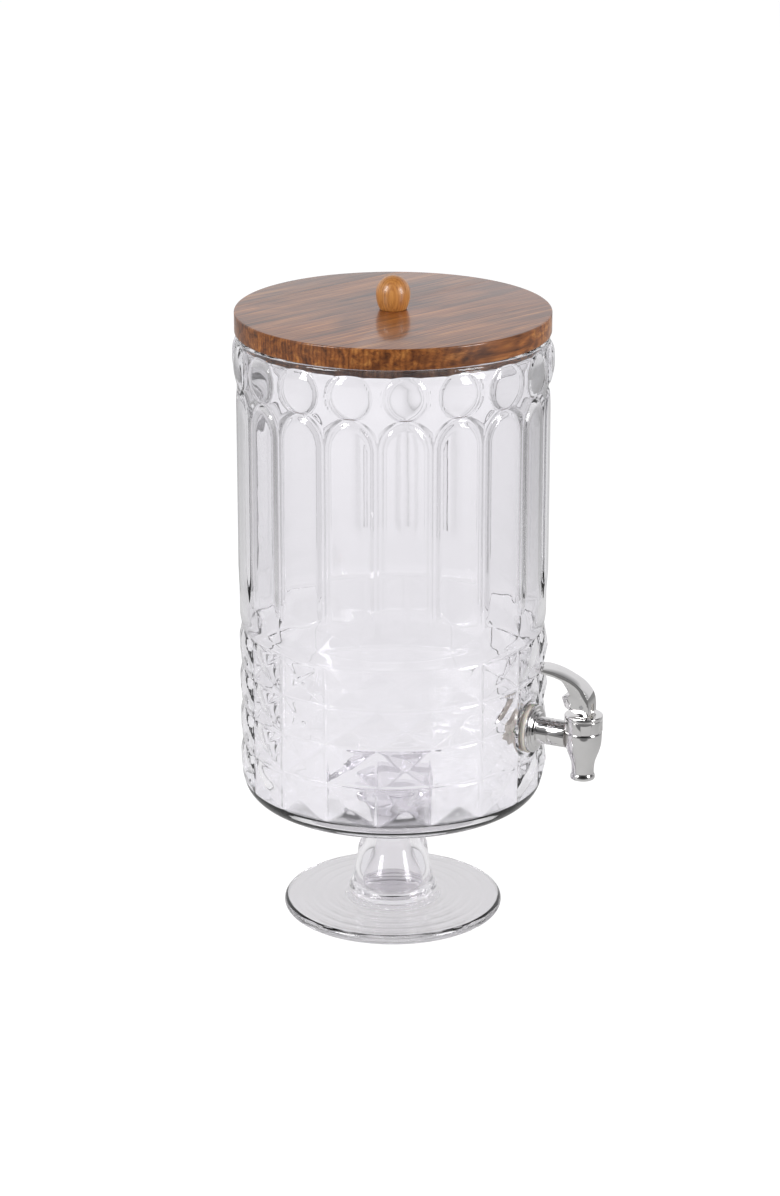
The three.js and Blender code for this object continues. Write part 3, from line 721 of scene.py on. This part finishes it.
def make_shank():
    """The threaded shank, the stepped flange outside the wall and the barrel as far as its seam."""
    back = PAD_OUTER + GASKET_THICKNESS + 0.1
    seam = TAP_SEAM - SEAM_HALF_GAP
    shank = [(PASSAGE, SHANK_END), (THREAD_RADIUS, SHANK_END), (THREAD_RADIUS, back)]
    flange = [(FLANGE_RADIUS, back), (FLANGE_RADIUS, back + 2.0), (11.4, back + 2.0)]
    collar = [(11.0, back + 2.8), (9.9, back + 2.8), (9.5, back + 4.3), (BARREL_RADIUS, back + 4.6)]
    barrel = [(BARREL_RADIUS, seam - 0.55), (SEAM_RADIUS, seam - 0.3), (SEAM_RADIUS, seam), (PASSAGE, seam)]
    points = shank + flange + collar + barrel + [(PASSAGE, SHANK_END)]
    radii = [0, 0.6, 0.3, 0.5, 0.7, 0.3, 0.4, 0.4, 0.5, 0.5, 0.15, 0.1, 0, 0, 0]
    return along_tap(lathe("tap_shank_chrome", rounded(points, radii)[:-1], 96))


def make_tap_body():
    """The rest of the barrel and the vase shaped valve body, hollow from barrel to spout."""
    seam = TAP_SEAM + SEAM_HALF_GAP
    points = [(0, seam), (SEAM_RADIUS, seam), (SEAM_RADIUS, seam + 0.3), (BARREL_RADIUS, seam + 0.6)]
    points += [(BARREL_RADIUS, 106.5), (3.6, 106.5), (3.6, 111.5), (0, 111.5)]
    body = along_tap(lathe("tap_body_chrome", rounded(points, [0, 0, 0.1, 0.15, 0.3, 0, 0, 0]), 96))
    throat = [(6.45, 98.8), (6.15, 99.5), (6.15, 101), (6.25, 103.5), (6.75, 106.5)]
    vase = [(7.9, 109.8), (9.1, 113.2), (9.85, 116.6), (10.15, 120.2), (10.2, 123.4)]
    lip = [(0, 96), (6.0, 96), (6.5, 96.2), (6.75, 96.8), (6.72, 97.8)]
    neck = [(9.8, 124), (8.9, 124), (8.9, 131.4), (0, 131.4)]
    spout = at_spout(lathe("spout", lip + spline(throat + vase, 40) + neck, 96))
    combine(body, spout, "UNION")
    channel = along_tap(lathe("channel", [(0, 90), (PASSAGE, 90), (PASSAGE, 113.5), (0, 113.5)], 48))
    combine(body, channel, "DIFFERENCE")
    bore = [(0, 94), (4.9, 94), (4.5, 100), (4.5, 110), (7.6, 113), (7.6, 134), (0, 134)]
    combine(body, at_spout(lathe("bore", bore, 64)), "DIFFERENCE")
    return body


for node, piece in (("tap_shank", make_shank()), ("tap_body", make_tap_body())):
    piece.data.materials.append(chrome)
    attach(piece, "vessel")
    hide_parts(node)


CAP_RADIUS, CAP_BORE, CAP_BOTTOM, CAP_INSIDE, CAP_TOP = 10.5, 9.2, 124.2, 131.55, 133.4
STEM_HOLE, NOTCHES, NOTCH_TOP, NOTCH_HALF_ANGLE = 2.8, 6, 128.2, 0.27


def make_bonnet():
    """A cap with a groove round its upper edge and shallow notches round its skirt."""
    skirt = [(CAP_BORE, CAP_BOTTOM), (CAP_RADIUS, CAP_BOTTOM), (CAP_RADIUS, 130.9)]
    groove = [(10.15, 131.1), (10.15, 131.5), (CAP_RADIUS, 131.7)]
    top = [(CAP_RADIUS, CAP_TOP), (STEM_HOLE, CAP_TOP), (STEM_HOLE, CAP_INSIDE)]
    inside = [(CAP_BORE, CAP_INSIDE), (CAP_BORE, CAP_BOTTOM)]
    profile = rounded(skirt + groove + top + inside, [0, 0.3, 0.1, 0.05, 0.05, 0.1, 0.6, 0, 0, 0, 0])[:-1]
    bonnet = at_spout(lathe("bonnet_chrome", profile, 144))
    for i in range(NOTCHES):
        middle = 2 * math.pi * i / NOTCHES
        sector = np.linspace(middle - NOTCH_HALF_ANGLE, middle + NOTCH_HALF_ANGLE, 10)
        ring = []
        for r, turn in ((9.95, sector), (12, sector[::-1])):
            ring += [(r * math.sin(a), -r * math.cos(a)) for a in turn]
        combine(bonnet, at_spout(column("notch", ring, CAP_BOTTOM - 0.7, NOTCH_TOP)), "DIFFERENCE")
    return bevel(bonnet, 0.12, 2, 40)


bonnet = make_bonnet()
bonnet.data.materials.append(chrome)
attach(bonnet, "vessel")
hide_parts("bonnet")

# ---------------------------------------------------------------- gaskets and nut
RING_BORE, GASKET_RADIUS, FACE_GAP = 8.0, 13.6, 0.05
gasket_backs = {"outer_gasket": PAD_OUTER + FACE_GAP, "inner_gasket": PAD_INNER - FACE_GAP - GASKET_THICKNESS}
for name, back in gasket_backs.items():
    front = back + GASKET_THICKNESS
    corners = [(RING_BORE, back), (GASKET_RADIUS, back), (GASKET_RADIUS, front), (RING_BORE, front)]
    ring = rounded(corners + corners[:1], [0, 0.9, 0.9, 0.4, 0])[:-1]
    gasket = along_tap(lathe(f"{name}_silicone", ring, 96))
    gasket.data.materials.append(gasket_silicone)
    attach(gasket, "vessel")
    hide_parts(name)


WASHER_RADIUS, WASHER_THICKNESS, HEXAGON_RADIUS, NUT_THICKNESS = 13.0, 1.8, 12.6, 5


def make_nut():
    """A hexagon with a washer face towards the wall."""
    front = PAD_INNER - GASKET_THICKNESS - 3 * FACE_GAP
    seat, back = front - WASHER_THICKNESS, front - NUT_THICKNESS
    face = [(RING_BORE, seat), (WASHER_RADIUS, seat), (WASHER_RADIUS, front), (RING_BORE, front)]
    washer = along_tap(lathe("lock_nut_plastic", face, 96))
    block = [(0, back), (HEXAGON_RADIUS, back), (HEXAGON_RADIUS, seat + 0.1), (0, seat + 0.1)]
    hexagon = along_tap(lathe("hexagon", block, 6, 10))
    drill = [(0, back - 4), (RING_BORE, back - 4), (RING_BORE, front + 2), (0, front + 2)]
    hole = along_tap(lathe("hole", drill, 64))
    combine(hexagon, hole, "DIFFERENCE")
    combine(washer, hexagon, "UNION")
    return bevel(washer, 0.4, 3, 25)


nut = make_nut()
nut.data.materials.append(nut_plastic)
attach(nut, "vessel")
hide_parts("lock_nut")


# ---------------------------------------------------------------- lever
PIN_HEIGHT, PIN_HOLE = 138.5, 1.1
STRIP_WIDTH, NECK_HALF_WIDTH, NECK_REACH = 13.4, 5.5055, 108.0
FINGER_RADIUS, FINGER_HALF_WIDTH, FINGER_MIDDLE = 6.7, 6.6867, 93.2
WEB_WIDTH, SLOT_WIDTH, LEVER_FOOT = 8, 3.6, 133.8


def make_lever():
    """A bent strip with a round finger end, and a cam web under its bend with a slot for the stem."""
    outer = [(120.5, 139), (119.9, 143.2), (117.8, 147.4), (112.6, 152.0), (103.5, 155.9), (95, 157.6)]
    outer = spline(outer + [(86, 157.9)], 40)
    inner = [(86, 155.5), (95, 155.0), (102.8, 153.2), (110.2, 149.5), (115.0, 145.4), (117.0, 142)]
    inner = spline(inner + [(117.4, 138)], 40)
    blade = [(117.4, LEVER_FOOT), (119.6, LEVER_FOOT), (120.5, 134.8)] + outer + inner
    strip = plate("lever_chrome", blade, STRIP_WIDTH)
    # In plan the strip widens to a half round finger end.
    plan = [(NECK_HALF_WIDTH, -140.0), (NECK_HALF_WIDTH, -NECK_REACH)]
    for a in np.linspace(0.0, math.pi, 24):
        plan.append((FINGER_HALF_WIDTH * math.cos(a), -FINGER_MIDDLE + FINGER_RADIUS * math.sin(a)))
    plan += [(-NECK_HALF_WIDTH, -NECK_REACH), (-NECK_HALF_WIDTH, -140.0)]
    combine(strip, column("plan", plan, 120, 170), "INTERSECT")
    bevel(strip, 0.55, 3, 40)
    cam = [(101.5, 154.3), (104.6, 150.6), (107, 147.2), (108.4, 144.3), (104.4, 143.4), (104.0, 142.4)]
    cam += [(105.6, 137.6), (106.4, 136.8), (112, 134.3), (114, LEVER_FOOT)]
    back = [(118.6, LEVER_FOOT), (118.6, 142), (116, 146.5), (110, 150.8)]
    web = plate("web", cam + back, WEB_WIDTH)
    bevel(web, 0.4, 2, 25)
    combine(strip, web, "UNION")
    slot = [(112.2, 130), (123, 130), (123, 139.2), (118.8, 140.6), (117.4, 142), (113, 142), (112.2, 140)]
    combine(strip, plate("slot", slot, SLOT_WIDTH), "DIFFERENCE")
    pin_hole = lathe("pin_hole", [(0, -9), (PIN_HOLE, -9), (PIN_HOLE, 9), (0, 9)], 32)
    at_pin = Matrix.Translation((0, -SPOUT_REACH * MM, PIN_HEIGHT * MM))
    pin_hole.data.transform(at_pin @ Matrix.Rotation(math.radians(90), 4, "Y"))
    return combine(strip, pin_hole, "DIFFERENCE")


lever = make_lever()
lever.data.materials.append(chrome)
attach(lever, "lever")
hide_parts("lever")

# ---------------------------------------------------------------- CAD nodes that stay
# Small pieces that hardly show keep their CAD shape and only get a finish.
KEPT = {
    "knob_screw": steel,
    "seat_plug": gasket_silicone,
    "valve_stem": white_plastic,
    "stem_seal": gasket_silicone,
    "return_spring": steel,
    "lever_pin": steel,
}
for node, finish in KEPT.items():
    mesh_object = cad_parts[node]
    mesh_object.data.materials.clear()
    mesh_object.data.materials.append(finish)

# ---------------------------------------------------------------- studio
CAMERA_AZIMUTH = math.radians(-64.4)
toward_camera = Vector((math.sin(CAMERA_AZIMUTH), -math.cos(CAMERA_AZIMUTH), 0))
camera_right = Vector((math.cos(CAMERA_AZIMUTH), math.sin(CAMERA_AZIMUTH), 0))
CAMERA_DISTANCE, CAMERA_SHIFT, CAMERA_HEIGHT, CAMERA_TILT = 1.815, 0.00168, 0.8058, 18.93
lens = bpy.data.cameras.new("camera")
lens.lens = 104.0
lens.sensor_width = 36.0
camera = bpy.data.objects.new("camera", lens)
camera.location = toward_camera * CAMERA_DISTANCE - camera_right * CAMERA_SHIFT
camera.location.z = CAMERA_HEIGHT
camera.rotation_euler = (math.radians(90 - CAMERA_TILT), 0, CAMERA_AZIMUTH)
lens.clip_end = 50
bpy.context.scene.collection.objects.link(camera)
bpy.context.scene.camera = camera

floor_mesh = bpy.data.meshes.new("floor")
FLOOR_SIDE = 9.0
around = ((-1, -1), (1, -1), (1, 1), (-1, 1))
floor_mesh.from_pydata([(FLOOR_SIDE * x, FLOOR_SIDE * y, 0) for x, y in around], [], [(0, 1, 2, 3)])
floor = bpy.data.objects.new("floor", floor_mesh)
floor.location.z = -0.0002
bpy.context.scene.collection.objects.link(floor)


# The floor's near edge as glass sees it, its level as the camera sees it, how much dimmer mirrors see
# it, and its levels away from the middle line and behind the object.
FLOOR_EDGE, FLOOR_WHITE = 0.322, 0.93
MIRRORED_DIM = 0.42
FLOOR_SIDES = [(0.0, 1.0), (0.07, 0.99), (0.2, 0.93), (0.42, 0.74), (0.8, 0.35)]
FLOOR_GRADE = [(0.0, 0.82), (0.2, 0.8), (0.3, 0.78), (0.4, 0.73), (0.55, 0.77), (0.75, 0.86), (1.0, 0.92)]


def floor_material():
    """A pale floor with a glow of its own, at one level for rays from the camera. Rays that come by way of
    glass or a mirror see it grade away behind the object, dim at the sides and darken on the camera's
    side, which a plain floor would not do."""
    n = Nodes("floor_white")
    where = n.add("ShaderNodeTexCoord").outputs["Object"]

    def along(direction):
        node = n.add("ShaderNodeVectorMath", operation="DOT_PRODUCT")
        node.inputs[1].default_value = direction
        n.link(where, node.inputs[0])
        return node.outputs["Value"]

    def math_node(operation, a, b=0.0):
        node = n.add("ShaderNodeMath", operation=operation)
        for socket, value in zip(node.inputs, (a, b)):
            if hasattr(value, "links"):
                n.link(value, socket)
            else:
                socket.default_value = value
        return node.outputs[0]

    def step(value, low, high):
        node = n.add("ShaderNodeMapRange", interpolation_type="SMOOTHSTEP")
        node.inputs["From Min"].default_value = low
        node.inputs["From Max"].default_value = high
        n.link(value, node.inputs["Value"])
        return node.outputs["Result"]

    def less(amount, share):
        return math_node("SUBTRACT", 1.0, math_node("MULTIPLY", amount, share))

    path = n.add("ShaderNodeLightPath").outputs
    mirrored = path["Is Reflection Ray"]
    ahead, aside = along(toward_camera), along(camera_right)
    behind = step(ahead, 0.3, -1.5)
    graded = n.ramp(behind, [(x, (v, v, v)) for x, v in FLOOR_GRADE])
    slope = math_node("ABSOLUTE", math_node("DIVIDE", aside, ahead))
    slope = math_node("MULTIPLY", slope, less(mirrored, 0.6))
    wedge = math_node("MULTIPLY", step(ahead, FLOOR_EDGE, FLOOR_EDGE + 0.03), step(slope, 0.6, 0.38))
    wedge = math_node("MULTIPLY", wedge, n.spread(mirrored, 0.35, 1.0))
    sides = n.ramp(math_node("ABSOLUTE", aside), [(x, (v, v, v)) for x, v in FLOOR_SIDES])
    lit = math_node("MULTIPLY", less(wedge, 1.0), sides)
    lit = math_node("MULTIPLY", lit, less(mirrored, MIRRORED_DIM))
    glow = math_node("MULTIPLY", graded, lit)
    chosen = n.add("ShaderNodeMix", data_type="FLOAT")
    n.link(path["Is Camera Ray"], chosen.inputs[0])
    n.link(glow, chosen.inputs[2])
    chosen.inputs[3].default_value = FLOOR_WHITE
    n.link(chosen.outputs[0], n.shader.inputs["Emission Strength"])
    greys = [(0.3, (0.2, 0.2, 0.2)), (0.7, (0.21, 0.21, 0.21))]
    n.link(n.ramp(n.noise(where, 3), greys), n.shader.inputs["Base Color"])
    n.set(Roughness=0.9, Emission_Color=(1, 1, 1, 1), Specular_IOR_Level=0.1)
    return n.material


floor.data.materials.append(floor_material())


ROOM_STRENGTH, BACKDROP_STRENGTH = 0.95, 1.1


def make_world():
    """A studio that is plain white for rays from the camera. Rays that come by way of glass see it dim at
    both sides, overhead and behind the camera, and rays off a mirror see the same more strongly."""
    world = bpy.data.worlds.new("studio")
    world.use_nodes = True
    tree = world.node_tree
    tree.nodes.clear()

    def add(kind, operation=None, a=None, b=None):
        node = tree.nodes.new(kind)
        if operation:
            node.operation = operation
        for k, value in enumerate((a, b)):
            if value is None:
                continue
            if hasattr(value, "links"):
                tree.links.new(value, node.inputs[k])
            else:
                node.inputs[k].default_value = value
        return node

    def ramp(value, stops):
        node = tree.nodes.new("ShaderNodeValToRGB")
        while len(node.color_ramp.elements) < len(stops):
            node.color_ramp.elements.new(0.5)
        for element, (place, level) in zip(node.color_ramp.elements, stops):
            element.position = place
            element.color = (level, level, level * 1.01, 1)
        tree.links.new(value, node.inputs["Fac"])
        return node.outputs["Color"]

    where = add("ShaderNodeTexCoord").outputs["Generated"]
    parts = add("ShaderNodeSeparateXYZ", None, where).outputs
    facing = add("ShaderNodeVectorMath", "DOT_PRODUCT", where, tuple(toward_camera)).outputs["Value"]
    facing = add("ShaderNodeMath", "MULTIPLY_ADD", facing, 0.5)
    facing.inputs[2].default_value = 0.5
    path = tree.nodes.new("ShaderNodeLightPath")

    def blend(kind, factor, a, b):
        node = tree.nodes.new("ShaderNodeMix")
        node.data_type = "RGBA"
        node.blend_type = kind
        if hasattr(factor, "links"):
            tree.links.new(factor, node.inputs[0])
        else:
            node.inputs[0].default_value = factor
        for socket, source in zip([s for s in node.inputs if s.type == "RGBA"], (a, b)):
            tree.links.new(source, socket)
        return [s for s in node.outputs if s.type == "RGBA"][0]

    through = [(0.0, 0.9), (0.25, 0.9), (0.36, 0.5), (0.5, 0.32), (0.62, 0.5), (0.72, 0.9), (0.82, 0.85)]
    through = ramp(facing.outputs[0], through + [(0.9, 0.55), (0.96, 0.3), (1.0, 0.25)])
    off = [(0.0, 0.95), (0.25, 0.85), (0.36, 0.25), (0.5, 0.1), (0.6, 0.25), (0.68, 0.8), (0.8, 0.55)]
    off = ramp(facing.outputs[0], off + [(0.88, 0.12), (0.95, 0.03), (1.0, 0.02)])
    gap = blend("MIX", path.outputs["Is Reflection Ray"], through, off)
    above_through = ramp(parts[2], [(0.0, 1.0), (0.5, 1.0), (0.66, 0.8), (1.0, 0.65)])
    above_off = ramp(parts[2], [(0.0, 1.0), (0.5, 1.0), (0.66, 0.4), (1.0, 0.25)])
    overhead = blend("MIX", path.outputs["Is Reflection Ray"], above_through, above_off)
    levels = blend("MULTIPLY", 1.0, gap, overhead)
    seen = tree.nodes.new("ShaderNodeBackground")
    seen.inputs["Color"].default_value = (1, 1, 1, 1)
    seen.inputs["Strength"].default_value = BACKDROP_STRENGTH
    lit = tree.nodes.new("ShaderNodeBackground")
    tree.links.new(levels, lit.inputs["Color"])
    lit.inputs["Strength"].default_value = ROOM_STRENGTH
    pick = tree.nodes.new("ShaderNodeMixShader")
    tree.links.new(path.outputs["Is Camera Ray"], pick.inputs[0])
    tree.links.new(lit.outputs[0], pick.inputs[1])
    tree.links.new(seen.outputs[0], pick.inputs[2])
    out = tree.nodes.new("ShaderNodeOutputWorld")
    tree.links.new(pick.outputs[0], out.inputs["Surface"])
    bpy.context.scene.world = world


make_world()


def area_light(name, place, size, power, target=(0, 0, 0.2)):
    data = bpy.data.lights.new(name, "AREA")
    data.shape = "RECTANGLE"
    data.size, data.size_y = size
    data.energy = power
    light = bpy.data.objects.new(name, data)
    light.location = place
    light.rotation_euler = (Vector(target) - Vector(place)).to_track_quat("-Z", "Y").to_euler()
    bpy.context.scene.collection.objects.link(light)


up = Vector((0, 0, 1))
area_light("key", toward_camera * 1.2 - camera_right * 1.7 + up * 1.5, (0.8, 1.3), 40)
area_light("fill", toward_camera * 1.1 + camera_right * 1.8 + up * 1.0, (0.7, 1.3), 34)

scene = bpy.context.scene
scene.view_settings.view_transform = "Standard"
scene.view_settings.look = "None"
scene.cycles.max_bounces = 24
scene.cycles.transmission_bounces = 22
scene.cycles.glossy_bounces = 10
scene.cycles.diffuse_bounces = 3
scene.cycles.use_denoising = True
scene.cycles.caustics_refractive = True
scene.cycles.caustics_reflective = True
scene.cycles.sample_clamp_indirect = 8
